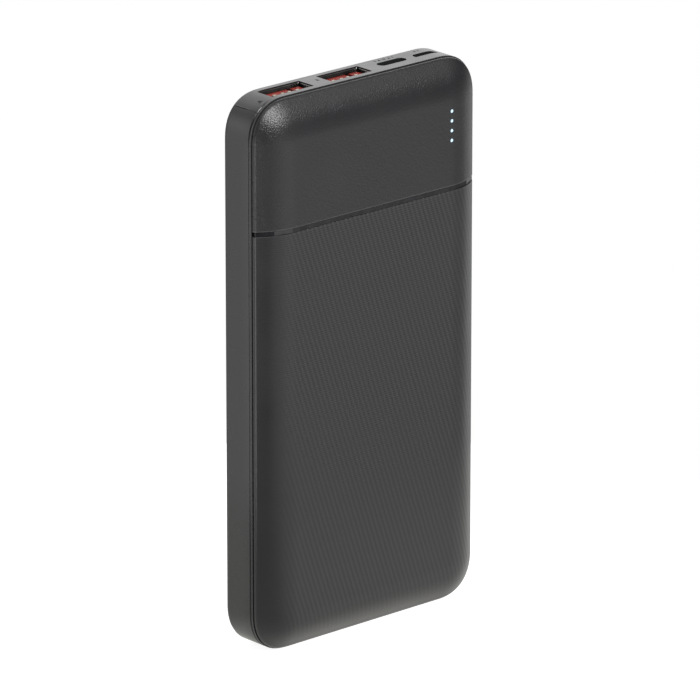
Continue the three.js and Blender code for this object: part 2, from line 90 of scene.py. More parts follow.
# The rim that plugs into the band, and the shelf that closes the seam behind the cover's edge.
SHELF_INSET = 0.65
SHELF_GAP = 0.05
RIM_INSET = 1.7
RIM_WALL = 1.0
RIM_DEPTH = 0.9
CORNER_X = HALF_WIDTH - CORNER_RADIUS
CORNER_Z = MID_Z - CORNER_RADIUS

# The groove in the front cover that holds the strip; it starts a little below the CAD's strip.
STRIP_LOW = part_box("accent_strip")[0][2] / MM - 0.06
STRIP_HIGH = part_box("accent_strip")[1][2] / MM
GROOVE_DEPTH = 0.9
GROOVE_CHAMFER = 0.09

# The ribs below the strip; the profile of one gives shares of its height.
RIB_PITCH = 0.53
RIB_HEIGHT = 0.022
RIB_PROFILE = (0.0, 0.5, 1.0, 0.5)

# How far a cutter reaches past the wall that it opens, and what keeps the straight side of a
# round end from vanishing.
CUT_REACH = 1
NEARLY_ROUND = 0.01


# ---- Mesh helpers

WELD = 1e-4
BEVEL_SEGMENTS = 2
SHARP = 35


def new_mesh(name, points, faces):
    """A mesh from points in millimetres."""
    mesh = bpy.data.meshes.new(name)
    mesh.from_pydata((np.asarray(points, float) * MM).tolist(), [], faces)
    return mesh


def clean(mesh, weld=True):
    """Welds points that coincide, unless told not to, and turns all faces outwards."""
    work = bmesh.new()
    work.from_mesh(mesh)
    if weld:
        bmesh.ops.remove_doubles(work, verts=work.verts, dist=WELD * MM)
        bmesh.ops.dissolve_degenerate(work, edges=work.edges, dist=WELD * MM)
    bmesh.ops.recalc_face_normals(work, faces=work.faces)
    work.to_mesh(mesh)
    work.free()


def add(name, data):
    """A new object in the scene."""
    made = bpy.data.objects.new(name, data)
    bpy.context.scene.collection.objects.link(made)
    return made


def make_piece(name, points, faces, material, body="case", sharp=SHARP):
    """A shaded mesh object from points in millimetres, riding on a body."""
    mesh = new_mesh(name, points, faces)
    piece = add(name, mesh)
    clean(mesh)
    mesh.materials.append(material)
    smooth(piece, sharp)
    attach(piece, body)
    return piece


def smooth(piece, sharp):
    """Smooth shading with sharp edges above an angle in degrees."""
    piece.data.shade_smooth()
    piece.data.set_sharp_from_angle(angle=math.radians(sharp))


def apply_modifiers(piece):
    """Turns the piece's modifiers into plain mesh."""
    graph = bpy.context.evaluated_depsgraph_get()
    mesh = bpy.data.meshes.new_from_object(piece.evaluated_get(graph))
    piece.modifiers.clear()
    piece.data = mesh


def cut(piece, points, faces, sharp=SHARP):
    """Cuts a closed shape, which may have several islands, out of the piece."""
    mesh = new_mesh("cutter", points, faces)
    clean(mesh, weld=False)
    cutter = add("cutter", mesh)
    modifier = piece.modifiers.new("cut", "BOOLEAN")
    modifier.operation = "DIFFERENCE"
    modifier.solver = "EXACT"
    modifier.object = cutter
    apply_modifiers(piece)
    bpy.data.objects.remove(cutter)
    smooth(piece, sharp)


def bevel(piece, width, angle, sharp=SHARP):
    """Rounds the piece's edges that are sharper than an angle in degrees."""
    modifier = piece.modifiers.new("bevel", "BEVEL")
    modifier.width = width * MM
    modifier.segments = BEVEL_SEGMENTS
    modifier.limit_method = "ANGLE"
    modifier.angle_limit = math.radians(angle)
    apply_modifiers(piece)
    smooth(piece, sharp)


def merge(*parts):
    """Several (points, faces) as one."""
    points, faces = [], []
    for part_points, part_faces in parts:
        start = len(points)
        points.extend(part_points)
        faces.extend([[start + i for i in face] for face in part_faces])
    return points, faces


def rings_solid(rings):
    """Joins rings of equal length into a skin and closes both ends."""
    count = len(rings[0])
    points = [tuple(point) for ring in rings for point in ring]
    faces = []
    for r in range(len(rings) - 1):
        for i in range(count):
            j = (i + 1) % count
            faces.append([r * count + i, r * count + j, (r + 1) * count + j, (r + 1) * count + i])
    faces.append(list(range(count))[::-1])
    faces.append([(len(rings) - 1) * count + i for i in range(count)])
    return points, faces


def rounded_loop(width, height, radius, steps=6):
    """Points of a rounded rectangle about the origin, anticlockwise."""
    points = []
    for quarter, (sx, sy) in enumerate(((1, 1), (-1, 1), (-1, -1), (1, -1))):
        for i in range(steps + 1):
            angle = (quarter + i / steps) * math.pi / 2
            points.append((
                sx * (width / 2 - radius) + radius * math.cos(angle),
                sy * (height / 2 - radius) + radius * math.sin(angle),
            ))
    return points


def round_loop(radius, steps):
    """Points of a circle about the origin, anticlockwise."""
    turns = [2 * math.pi * i / steps for i in range(steps)]
    return [(radius * math.cos(t), radius * math.sin(t)) for t in turns]


def upright(loop, x, y, z):
    """A plan loop placed at a height."""
    return [(x + px, y + py, z) for px, py in loop]


def sideways(loop, x, y, z):
    """A loop in the side plane (y, z)."""
    return [(x, y + px, z + py) for px, py in loop]


def facing(loop, x, y, z):
    """A loop in the front plane (x, z)."""
    return [(x + px, y, z + py) for px, py in loop]


def box_shape(low, high):
    """An upright box between two corners."""
    loop = [(low[0], low[1]), (high[0], low[1]), (high[0], high[1]), (low[0], high[1])]
    return rings_solid([upright(loop, 0, 0, low[2]), upright(loop, 0, 0, high[2])])


# ---- Case shape functions

def rounded_section(corners, radii, steps=12):
    """A section of straight runs with its inner corners rounded off."""
    points = [np.array(corner, float) for corner in corners]
    section = []
    for i, radius in enumerate(radii):
        corner = points[i + 1]
        before = (points[i] - corner) / np.linalg.norm(points[i] - corner)
        after = (points[i + 2] - corner) / np.linalg.norm(points[i + 2] - corner)
        reach = radius / math.tan(math.acos(float(before @ after)) / 2)
        start, end = corner + before * reach, corner + after * reach
        for t in np.linspace(0, 1, steps):
            section.append((1 - t) ** 2 * start + 2 * t * (1 - t) * corner + t * t * end)
    section.append(points[-1])
    return np.array(section)


SECTION = rounded_section([
    (EDGE_INSET, SEAM),
    (EDGE_INSET, EDGE_RISE),
    (FOLD_INSET, FOLD_RISE),
    (FLAT_INSET, DOME),
    (CORNER_RADIUS, DOME),
], FILLETS)


def inset_of(x, z):
    """How far inside the case's outline a point of the front plane lies."""
    over_x = np.maximum(np.abs(x) - CORNER_X, 0)
    over_z = np.maximum(np.abs(z - MID_Z) - CORNER_Z, 0)
    return CORNER_RADIUS - (over_x ** CORNER_POWER + over_z ** CORNER_POWER) ** (1 / CORNER_POWER)


def forward_of(x, z):
    """The dome's height in front of the middle plane."""
    return BAND_HALF + np.interp(inset_of(x, z), SECTION[:, 0], SECTION[:, 1])


def outline_half_width(z, inset):
    """Half the case's width at a height, for an outline drawn in by an inset."""
    radius = CORNER_RADIUS - inset
    over_z = np.minimum(np.maximum(np.abs(z - MID_Z) - CORNER_Z, 0), radius)
    over_x = np.maximum(radius ** CORNER_POWER - over_z ** CORNER_POWER, 0) ** (1 / CORNER_POWER)
    return CORNER_X + over_x


# Where columns and rows of a cover's mesh cross its soft border, as insets.
BORDER = np.array([
    0.3, 0.302, 0.31, 0.33, 0.37, 0.43, 0.52, 0.64, 0.8, 1.0, 1.4, 1.9, 2.5, 3.0, 3.4, 3.8,
    4.2, 4.6, 5.0, 5.4, 6.0, 6.8, 7.6, 8.2, 8.6, 9.0, 9.4, 9.8, 10.7,
])
FLAT_COLUMNS = 13
NUDGE = 0.01
RIB_FADE = 0.5


def cover_shape(rows, side):
    """A cover's closed shell. Each row is (z, how far it is sunk, rib height); side is -1 at the
    front and 1 at the rear."""
    z_rows = np.array([row[0] for row in rows])
    sunk = np.array([row[1] for row in rows])[:, None]
    rib = np.array([row[2] for row in rows])[:, None]
    border = (CORNER_RADIUS - BORDER) / (CORNER_RADIUS - EDGE_INSET)
    edge = outline_half_width(z_rows, EDGE_INSET)[:, None]
    right = CORNER_X + (edge - CORNER_X) * border[::-1][None, :]
    flat = np.repeat(np.linspace(-CORNER_X, CORNER_X, FLAT_COLUMNS)[None, 1:-1], len(rows), axis=0)
    x = np.hstack([-right[:, ::-1], flat, right])
    z = np.repeat(z_rows[:, None], x.shape[1], axis=1)
    forward = forward_of(x, z)
    slope_x = (forward_of(x + NUDGE, z) - forward_of(x - NUDGE, z)) / (2 * NUDGE)
    slope_z = (forward_of(x, z + NUDGE) - forward_of(x, z - NUDGE)) / (2 * NUDGE)
    length = np.sqrt(1 + slope_x ** 2 + slope_z ** 2)
    fade = np.clip((inset_of(x, z) - EDGE_INSET) / RIB_FADE, 0, 1)
    x = x + rib * fade * slope_x / length
    z_out = z + rib * fade * slope_z / length
    forward = forward - rib * fade / length
    forward = np.maximum(forward - sunk, BAND_HALF + SEAM)
    grid = np.stack([x, side * forward, z_out], axis=2)
    row_count, column_count = x.shape
    index = np.arange(row_count * column_count).reshape(row_count, column_count)
    quads = np.stack([index[:-1, :-1], index[:-1, 1:], index[1:, 1:], index[1:, :-1]], axis=2)
    points = grid.reshape(-1, 3).tolist()
    faces = quads.reshape(-1, 4).tolist()
    around = np.concatenate([
        index[0, :], index[1:, -1], index[-1, -2::-1], index[-2:0:-1, 0],
    ])
    edge_x = x.reshape(-1)[around]
    edge_z = z.reshape(-1)[around]
    core_x = np.clip(edge_x, -CORNER_X, CORNER_X)
    core_z = np.clip(edge_z, MID_Z - CORNER_Z, MID_Z + CORNER_Z)
    inner_inset = RIM_INSET + RIM_WALL
    # The shell's hidden side, as (inset, level), from the cover's edge round to its inner face.
    # The last three follow the dome about a wall's thickness below it.
    levels = [
        (EDGE_INSET, BAND_HALF + SEAM),
        (SHELF_INSET, BAND_HALF + SEAM),
        (SHELF_INSET, BAND_HALF + SHELF_GAP),
        (RIM_INSET, BAND_HALF + SHELF_GAP),
        (RIM_INSET, BAND_HALF - RIM_DEPTH),
        (inner_inset, BAND_HALF - RIM_DEPTH),
        (inner_inset, BAND_HALF + EDGE_RISE + 0.4),
        (FOLD_INSET + 0.65, BAND_HALF + FOLD_RISE - 1.2),
        (FLAT_INSET + 0.25, CASE_HALF - WALL),
    ]
    last = around.tolist()
    for inset, level in levels:
        shrink = (CORNER_RADIUS - inset) / (CORNER_RADIUS - EDGE_INSET)
        ring_x = core_x + (edge_x - core_x) * shrink
        ring_z = core_z + (edge_z - core_z) * shrink
        start = len(points)
        points.extend([[a, side * level, b] for a, b in zip(ring_x, ring_z)])
        ring = list(range(start, start + len(last)))
        for i in range(len(last)):
            j = (i + 1) % len(last)
            faces.append([last[j], last[i], ring[i], ring[j]])
        last = ring
    faces.append(last)
    return points, faces


# Heights of a cover's rows across its lower and upper soft borders.
LOW_ROWS = BORDER.tolist()
HIGH_ROWS = [HEIGHT - z for z in LOW_ROWS][::-1]
# The first six rows of the border lie below the first rib, and the ribs stop short of the groove.
ROWS_BELOW_RIBS = 6
FIRST_RIB = 0.5
LAST_RIB_GAP = 0.45
GROOVE_GAP = 0.02
SMOOTH_GAP = 0.05
SMOOTH_ROWS = 40
REAR_ROWS = 60


def front_rows():
    """The front cover's rows: ribs, the strip's groove with its chamfers, then a smooth top."""
    rows = [(z, 0.0, 0.0) for z in LOW_ROWS[:ROWS_BELOW_RIBS]]
    step = RIB_PITCH / len(RIB_PROFILE)
    count = int((STRIP_LOW - LAST_RIB_GAP) / step)
    for i in range(count):
        depth = RIB_PROFILE[i % len(RIB_PROFILE)]
        rows.append((FIRST_RIB + i * step, 0.0, RIB_HEIGHT * depth))
    rows = [row for row in rows if row[0] < STRIP_LOW - GROOVE_CHAMFER - GROOVE_GAP]
    smooth_start = STRIP_HIGH + GROOVE_CHAMFER + SMOOTH_GAP
    rows += [
        (STRIP_LOW - GROOVE_CHAMFER, 0.0, 0.0),
        (STRIP_LOW, GROOVE_CHAMFER, 0.0),
        (STRIP_LOW, GROOVE_DEPTH, 0.0),
        (STRIP_HIGH, GROOVE_DEPTH, 0.0),
        (STRIP_HIGH, GROOVE_CHAMFER, 0.0),
        (STRIP_HIGH + GROOVE_CHAMFER, 0.0, 0.0),
        (smooth_start, 0.0, 0.0),
    ]
    flat = np.linspace(smooth_start, HIGH_ROWS[0], SMOOTH_ROWS)[1:-1].tolist()
    return rows + [(z, 0.0, 0.0) for z in flat + HIGH_ROWS]


def rear_rows():
    """The rear cover's rows, all plain."""
    flat = np.linspace(LOW_ROWS[-1], HIGH_ROWS[0], REAR_ROWS)[1:-1].tolist()
    return [(z, 0.0, 0.0) for z in LOW_ROWS + flat + HIGH_ROWS]


# ---- Band and top panel

def stations(start, stop, steps=28):
    """Places along the case's outline between two angles in degrees, anticlockwise from +X: the
    corner's centre and the direction of its soft curve."""
    places = []
    for quadrant in range(math.floor(start / 90), math.ceil(stop / 90)):
        low = max(start, 90 * quadrant)
        high = min(stop, 90 * (quadrant + 1))
        middle = math.radians(90 * quadrant + 45)
        sx = math.copysign(1, math.cos(middle))
        sz = math.copysign(1, math.sin(middle))
        count = max(2, round(steps * (high - low) / 90))
        for i in range(count + 1):
            turn = math.radians(low + (high - low) * i / count)
            ux = sx * abs(math.cos(turn)) ** (2 / CORNER_POWER)
            uz = sz * abs(math.sin(turn)) ** (2 / CORNER_POWER)
            places.append((sx * CORNER_X, MID_Z + sz * CORNER_Z, ux, uz))
    return places


# The band's two edges in section, as (inset, distance in from the edge), from the edge inwards.
# The front one has a thin lip with a groove beside it; the rear one is only rounded.
FRONT_EDGE = [
    (0.12, 0.0), (0.04, 0.03), (0.0, 0.1), (0.0, 0.3), (0.05, 0.36), (0.2, 0.42), (0.26, 0.5),
    (0.26, 0.78), (0.2, 0.86), (0.06, 0.94), (0.01, 1.02), (0.0, 1.12),
]
REAR_EDGE = [(0.2, 0.0), (0.09, 0.03), (0.03, 0.1), (0.0, 0.22)]
LIP_WIDTH = 0.3
# The groove is gone where the band's upward direction passes the second number.
GROOVE_FADE = (0.8, 0.96)
# The corner's curve is a little longer than a circle's of the same radius.
CORNER_STRETCH = 1.06
# Where the raised rear half ends, across the band.
RAISED_TO = 1.5
RAISED_GONE = -0.5


def band_section(groove, rise):
    """The band's section: how deep its groove is, from 0 to 1, and how far its rear half is
    raised, in millimetres. The lip outside the groove keeps its shape."""
    section = [(inset - rise, BAND_HALF - y) for inset, y in REAR_EDGE]
    section += [(-rise, RAISED_TO), (0.0, RAISED_GONE)]
    for inset, y in FRONT_EDGE[::-1]:
        section.append((inset * groove if y > LIP_WIDTH else inset, y - BAND_HALF))
    return section + [(WALL, -BAND_HALF), (WALL, BAND_HALF)]


# A fine bead along the seam, as (distance from the end, height). It fades out towards the front.
BEAD = [(0.0, 0.0), (0.05, 0.12), (0.14, 0.16), (0.26, 0.12), (0.36, 0.0)]


def corner_angle(length):
    """The angle in degrees that a length along a corner's curve spans."""
    return math.degrees(length / (CORNER_RADIUS * CORNER_STRETCH))


def swept_band(start, stop, beads=False):
    """The band between two angles. The groove fades out on the way up to the top face."""
    places = [(place, 0.0) for place in stations(start, stop)]
    if beads:
        turns = [(corner_angle(away), rise) for away, rise in BEAD]
        inner = turns[-1][0]
        places = [(place, 0.0) for place in stations(start + inner, stop - inner)[1:-1]]
        first = [(stations(start + turn, stop)[0], rise) for turn, rise in turns]
        last = [(stations(start, stop - turn)[-1], rise) for turn, rise in turns[::-1]]
        places = first + places + last
    rings = []
    for (cx, cz, ux, uz), rise in places:
        groove = min(1.0, max(0.0, (GROOVE_FADE[1] - uz) / (GROOVE_FADE[1] - GROOVE_FADE[0])))
        rings.append([
            (cx + (CORNER_RADIUS - inset) * ux, y, cz + (CORNER_RADIUS - inset) * uz)
            for inset, y in band_section(groove, rise)
        ])
    return rings_solid(rings)


# The corner seams' angle, and half their gap as an angle.
SEAM_ANGLE = 45
SEAM_HALF = corner_angle(0.04)
BAND_SHARP = 12
BAND_BEVEL = 0.1
BEVEL_ANGLE = 80


# ---- Materials

# The range that a noise pattern mostly keeps to, and how much smoother a rubbed edge is.
PATTERN = (0.3, 0.7)
WORN_SHINE = 0.08


class Look:
    """A procedural material under construction. Texture coordinates are the frame's metres."""

    def __init__(self, name, color, roughness, metallic=0.0, ior=1.5):
        self.material = bpy.data.materials.new(name)
        self.material.use_nodes = True
        self.tree = self.material.node_tree
        self.shader = self.tree.nodes["Principled BSDF"]
        self.feed("Base Color", (*color, 1))
        self.feed("Roughness", roughness)
        self.feed("Metallic", metallic)
        self.feed("IOR", ior)
        self.color = color
        self.roughness = roughness
        self.place = self.node("ShaderNodeTexCoord").outputs["Object"]

    def node(self, kind, **settings):
        """A new node with some of its properties set."""
        made = self.tree.nodes.new(kind)
        for key, value in settings.items():
            setattr(made, key, value)
        return made

    def put(self, socket, value):
        """Links a socket to another one, or sets its value."""
        if isinstance(value, bpy.types.NodeSocket):
            self.tree.links.new(value, socket)
        else:
            socket.default_value = value

    def feed(self, name, value):
        """Gives one of the shader's inputs a socket or a value."""
        self.put(self.shader.inputs[name], value)

    def math(self, operation, *values):
        """One step of arithmetic on sockets or numbers."""
        made = self.node("ShaderNodeMath", operation=operation)
        for socket, value in zip(made.inputs, values):
            self.put(socket, value)
        return made.outputs[0]

    def times(self, first, second):
        """The product of two sockets or numbers."""
        return self.math("MULTIPLY", first, second)

    def axes(self):
        """The frame's x, y and z as sockets."""
        split = self.node("ShaderNodeSeparateXYZ")
        self.put(split.inputs[0], self.place)
        return split.outputs

    def noise(self, size, detail=3.0, stretch=(1, 1, 1)):
        """Noise whose grains are about size millimetres, longer along the stretched axes."""
        mapping = self.node("ShaderNodeMapping")
        self.put(mapping.inputs["Vector"], self.place)
        mapping.inputs["Scale"].default_value = [1 / (size * MM * s) for s in stretch]
        made = self.node("ShaderNodeTexNoise")
        self.put(made.inputs["Vector"], mapping.outputs[0])
        made.inputs["Scale"].default_value = 1.0
        made.inputs["Detail"].default_value = detail
        return made.outputs["Fac"]

    def cells(self, size, **settings):
        """The distance pattern of cells about size millimetres wide."""
        made = self.node("ShaderNodeTexVoronoi", **settings)
        self.put(made.inputs["Vector"], self.place)
        made.inputs["Scale"].default_value = 1 / (size * MM)
        return made.outputs["Distance"]

    def span(self, value, low, high, new_low=0.0, new_high=1.0):
        """Maps a value from one range to another, clamped."""
        made = self.node("ShaderNodeMapRange")
        for socket, number in zip(made.inputs[:5], (value, low, high, new_low, new_high)):
            self.put(socket, number)
        return made.outputs[0]

    def fade(self, place, start, stop, new_low=0.0, new_high=1.0):
        """A span over a stretch of one axis, given in millimetres."""
        return self.span(place, start * MM, stop * MM, new_low, new_high)

    def blend(self, factor, first, second):
        """A colour between two colours."""
        made = self.node("ShaderNodeMix", data_type="RGBA")
        self.put(made.inputs["Factor"], factor)
        for name, value in (("A", first), ("B", second)):
            socket = next(s for s in made.inputs if s.name == name and s.type == "RGBA")
            self.put(socket, value if isinstance(value, bpy.types.NodeSocket) else (*value, 1))
        return next(s for s in made.outputs if s.type == "RGBA")

    def edges(self, low=0.52, high=0.6):
        """1 on worn convex edges, 0 elsewhere."""
        pointed = self.node("ShaderNodeNewGeometry").outputs["Pointiness"]
        worn = self.span(pointed, low, high)
        return self.times(worn, self.span(self.noise(1.7), 0.35, 0.65, 0.3, 1.0))

    def bump(self, height, depth, strength=1.0):
        """Raises the surface by a height map; depth is in millimetres."""
        made = self.node("ShaderNodeBump")
        made.inputs["Strength"].default_value = strength
        made.inputs["Distance"].default_value = depth * MM
        self.put(made.inputs["Height"], height)
        if self.shader.inputs["Normal"].is_linked:
            before = self.shader.inputs["Normal"].links[0].from_socket
            self.put(made.inputs["Normal"], before)
        self.feed("Normal", made.outputs[0])

    def vary(self, pattern, color_change=0.12, roughness_change=0.05, worn=None, worn_color=None):
        """Varies colour and roughness with a pattern around 0.5, and with edge wear."""
        dark = [c * (1 - color_change) for c in self.color]
        pale = [min(1, c * (1 + color_change)) for c in self.color]
        shade = self.blend(self.span(pattern, *PATTERN), dark, pale)
        smoother = self.roughness - roughness_change
        rougher = self.roughness + roughness_change
        rough = self.span(pattern, *PATTERN, smoother, rougher)
        if worn is not None:
            shade = self.blend(worn, shade, worn_color)
            rough = self.math("SUBTRACT", rough, self.times(worn, WORN_SHINE))
        self.feed("Base Color", shade)
        self.feed("Roughness", rough)


def plastic(name, color, roughness, grain=0.3, grain_depth=0.006, worn_gain=2.2, ior=1.5):
    """Moulded plastic: a fine erosion grain, slight blotches and paler rubbed edges."""
    look = Look(name, color, roughness, ior=ior)
    blotches = look.noise(9.0, 4.0)
    worn_color = [min(1, c * worn_gain + 0.01) for c in color]
    look.vary(blotches, 0.1, 0.04, look.edges(), worn_color)
    look.bump(look.noise(grain, 2.0), grain_depth)
    return look


def metal(name, color, roughness, stretch=(1, 1, 12), line=0.05, line_depth=0.002):
    """Drawn or stamped metal: fine lines along one axis and faint stains."""
    look = Look(name, color, roughness, metallic=1.0)
    look.vary(look.noise(2.5, 4.0), 0.1, 0.07, look.edges(), [min(1, c * 1.25) for c in color])
    look.bump(look.noise(line, 2.0, stretch), line_depth)
    return look


CASE_COLOR = (0.0135, 0.0135, 0.0148)
BAND_COLOR = (0.0145, 0.0148, 0.0155)
WORN_COLOR = (0.03, 0.03, 0.032)
COVER_ROUGHNESS = 0.33
BAND_ROUGHNESS = 0.27
PLAIN_SHINE = 0.5

# The covers' grain. The front one's gain is for above the strip; below it there is 1 less.
GRAIN_SIZE = 0.4
GRAIN_DEPTH = 0.03
GRAIN_GAIN = 1.2
SPARKLE_SIZE = 0.28
SPARKLE_GAIN = 2.3

# The waves' pitch, their drift sideways per millimetre of height, how far they wander and over
# what length, and where they fade in from the left edge and from the foot.
WAVE_PITCH = 1.32
WAVE_DRIFT = 0.346
WAVE_WANDER = 0.12
WAVE_WANDER_SIZE = 6.0
WAVE_LEFT_FADE = (5, 11)
WAVE_FOOT_FADE = (1.5, 9)
WAVE_DEPTH = 0.016
WAVE_SHINE = 0.06
WAVE_COLOR = (0.017, 0.017, 0.0185)

# A painted highlight: the pale line along the cover, just above the strip, stands in for the light that
# the cover's chamfer catches there.
HIGHLIGHT_LINE_WIDTH = 0.24
HIGHLIGHT_LINE_COLOR = (0.045, 0.045, 0.046)


def cover_look(name, ribbed):
    """The covers' matte black plastic. Below the strip the front one has slanted waves woven
    through its ribs. Above it there are a painted highlight, a pale line just over the strip, and a
    fine even grain, with a finer sparkle on the dome's slopes."""
    look = Look(name, CASE_COLOR, COVER_ROUGHNESS)
    blotches = look.noise(14.0, 4.0)
    look.vary(blotches, 0.1, 0.03, look.edges(0.55, 0.62), WORN_COLOR)
    grain = look.noise(GRAIN_SIZE, 1.0)
    if not ribbed:
        look.bump(grain, GRAIN_DEPTH)
        return look
    x, y, z = look.axes()
    lower = look.math("LESS_THAN", z, STRIP_LOW * MM)
    turn = 2 * math.pi / (WAVE_PITCH * MM)
    drift = look.times(z, WAVE_DRIFT)
    sway = look.span(look.noise(WAVE_WANDER_SIZE, 1.0), 0.0, 1.0, -1.0, 1.0)
    wander = look.times(sway, WAVE_WANDER * MM)
    along = look.math("ADD", look.math("ADD", x, drift), wander)
    wave = look.math("SINE", look.times(along, turn))
    from_left = look.fade(x, *[inset - HALF_WIDTH for inset in WAVE_LEFT_FADE])
    from_foot = look.fade(z, *WAVE_FOOT_FADE)
    waved = look.times(lower, look.times(from_left, from_foot))
    waves = look.times(look.span(wave, -1, 1), waved)
    shade = look.shader.inputs["Base Color"].links[0].from_socket
    shade = look.blend(waves, shade, WAVE_COLOR)
    # A painted highlight: a pale line in the base colour, just above the strip.
    above = look.math("GREATER_THAN", z, STRIP_HIGH * MM)
    line = look.times(above, look.math("LESS_THAN", z, (STRIP_HIGH + HIGHLIGHT_LINE_WIDTH) * MM))
    look.feed("Base Color", look.blend(line, shade, HIGHLIGHT_LINE_COLOR))
    swing = look.math("ADD", look.times(wave, WAVE_SHINE), WAVE_SHINE)
    shine = look.math("ADD", look.times(swing, waved), PLAIN_SHINE)
    look.feed("Specular IOR Level", shine)
    look.bump(waves, WAVE_DEPTH)
    look.bump(look.times(grain, look.math("SUBTRACT", GRAIN_GAIN, lower)), GRAIN_DEPTH)
    slope = look.fade(y, -CASE_HALF, FOLD_DROP - CASE_HALF, 0.0, SPARKLE_GAIN)
    sparkle = look.times(slope, look.math("SUBTRACT", 1.0, lower))
    look.bump(look.times(look.noise(SPARKLE_SIZE, 1.0), sparkle), GRAIN_DEPTH)
    return look


MASK_COLOR = (0.006, 0.075, 0.03)
TRACK_COLOR = (0.03, 0.16, 0.05)
TRACK_SPACING = 3.2
TRACK_HEIGHT = 0.03


def board_look():
    """Green solder mask with buried copper tracks."""
    look = Look("solder_mask", MASK_COLOR, 0.28)
    steps = look.cells(TRACK_SPACING, feature="DISTANCE_TO_EDGE", distance="CHEBYCHEV")
    tracks = look.span(steps, 0.05, 0.09, 1.0, 0.0)
    look.feed("Base Color", look.blend(tracks, MASK_COLOR, TRACK_COLOR))
    look.feed("Roughness", look.span(look.noise(1.2), *PATTERN, 0.22, 0.36))
    look.bump(tracks, TRACK_HEIGHT)
    return look


def foil_look():
    """The cells' laminated aluminium pouch, creased and slightly dull."""
    look = Look("aluminium_pouch", (0.6, 0.61, 0.62), 0.36, metallic=0.9)
    creases = look.noise(5.0, 6.0, (1, 1, 2.5))
    look.vary(creases, 0.06, 0.09)
    look.bump(creases, 0.18, 0.6)
    look.bump(look.noise(0.25, 2.0), 0.004)
    return look


FOAM_CELL = 0.7
FOAM_DEPTH = 0.25


def foam_look():
    """Open-celled grey foam."""
    look = Look("grey_foam", (0.07, 0.07, 0.075), 0.9)
    cells = look.cells(FOAM_CELL)
    look.vary(cells, 0.35, 0.05)
    look.bump(cells, FOAM_DEPTH)
    return look


# How far back the guide's lit ends reach, and the colour they shine in.
LIT_DEPTH = 0.5
LIT_COLOR = (0.43, 0.64, 0.78, 1.0)


def light_look():
    """Clear guide plastic whose four front ends shine a cool white."""
    look = Look("light_guide_plastic", (0.75, 0.8, 0.85), 0.18)
    look.feed("Transmission Weight", 0.6)
    y = look.axes()[1]
    front = look.math("LESS_THAN", y, -(CASE_HALF - LIT_DEPTH) * MM)
    flicker = look.span(look.noise(0.4, 2.0), *PATTERN, 0.85, 1.0)
    look.feed("Emission Color", LIT_COLOR)
    look.feed("Emission Strength", look.times(front, flicker))
    look.feed("Roughness", look.span(look.noise(0.3), *PATTERN, 0.14, 0.26))
    look.bump(look.noise(0.15, 2.0), 0.003)
    return look


def led_look():
    """The charge lights' white chip packages."""
    look = Look("led_package", (0.8, 0.8, 0.76), 0.35)
    look.vary(look.noise(0.5), 0.08, 0.06, look.edges(), (0.9, 0.9, 0.85))
    look.bump(look.noise(0.1, 2.0), 0.003)
    return look


LOOKS = {
    "case_front": cover_look("ribbed_matte_plastic", True),
    "case_rear": cover_look("grained_matte_plastic", False),
    "band": plastic("band_plastic", BAND_COLOR, BAND_ROUGHNESS, grain=0.22, grain_depth=0.005),
    "gloss": plastic("polished_black", (0.005, 0.005, 0.006), 0.1, 3.0, 0.002, 1.5, 1.33),
    "button": plastic("button_plastic", (0.016, 0.016, 0.017), 0.34, 0.2, 0.005),
    "black_plastic": plastic("black_insulator", (0.012, 0.012, 0.013), 0.45, 0.2, 0.006),
    "mark": plastic("mark_ink", (0.008, 0.008, 0.009), 0.8, 0.12, 0.004, ior=1.1),
    "tongue": plastic("orange_insulator", (0.18, 0.008, 0.002), 0.5, 0.25, 0.008, 1.3, 1.25),
    "steel": metal("stamped_steel", (0.14, 0.135, 0.13), 0.2, line_depth=0.0008),
    "contact": metal("gold_contact", (0.34, 0.29, 0.21), 0.28, (1, 1, 8)),
    "nickel": metal("nickel_strip", (0.62, 0.6, 0.55), 0.3, (1, 8, 1)),
    "board": board_look(),
    "pouch": foil_look(),
    "foam": foam_look(),
    "light": light_look(),
    "led": led_look(),
    "chip": plastic("chip_epoxy", (0.018, 0.018, 0.02), 0.5, 0.12, 0.006),
    "ferrite": plastic("ferrite_block", (0.045, 0.043, 0.042), 0.55, 0.35, 0.02),
    "capacitor": plastic("ceramic_capacitor", (0.36, 0.2, 0.09), 0.4, 0.2, 0.006),
    "red_wire": plastic("red_sleeve", (0.45, 0.015, 0.01), 0.4, 0.5, 0.006),
    "black_wire": plastic("black_sleeve", (0.014, 0.014, 0.015), 0.4, 0.5, 0.006),
}


def material(look):
    """A look's material, by the look's name."""
    return LOOKS[look].material


# ---- Covers

LED_X = (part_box("charge_led_1")[0].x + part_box("charge_led_1")[1].x) / 2 / MM
LED_HEIGHTS = [
    (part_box(f"charge_led_{i}")[0].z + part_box(f"charge_led_{i}")[1].z) / 2 / MM for i in (1, 2, 3, 4)
]
PIN_RADIUS = 0.42
PIN_GAP = 0.1
HOLE_STEPS = 24


def led_holes():
    """Cutters for the four holes of the charge lights."""
    loop = round_loop(PIN_RADIUS + PIN_GAP, HOLE_STEPS)
    holes = []
    for z in LED_HEIGHTS:
        near = facing(loop, LED_X, -CASE_HALF - CUT_REACH, z)
        far = facing(loop, LED_X, -CASE_HALF + WALL + CUT_REACH, z)
        holes.append(rings_solid([near, far]))
    return merge(*holes)


front_cover = make_piece(
    "front_cover_shell", *cover_shape(front_rows(), -1), material("case_front"), sharp=30
)
cut(front_cover, *led_holes(), sharp=30)
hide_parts("front_cover")

rear_cover = make_piece(
    "rear_cover_shell", *cover_shape(rear_rows(), 1), material("case_rear"), sharp=30
)
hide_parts("rear_cover")

# ---- Side band with its button opening

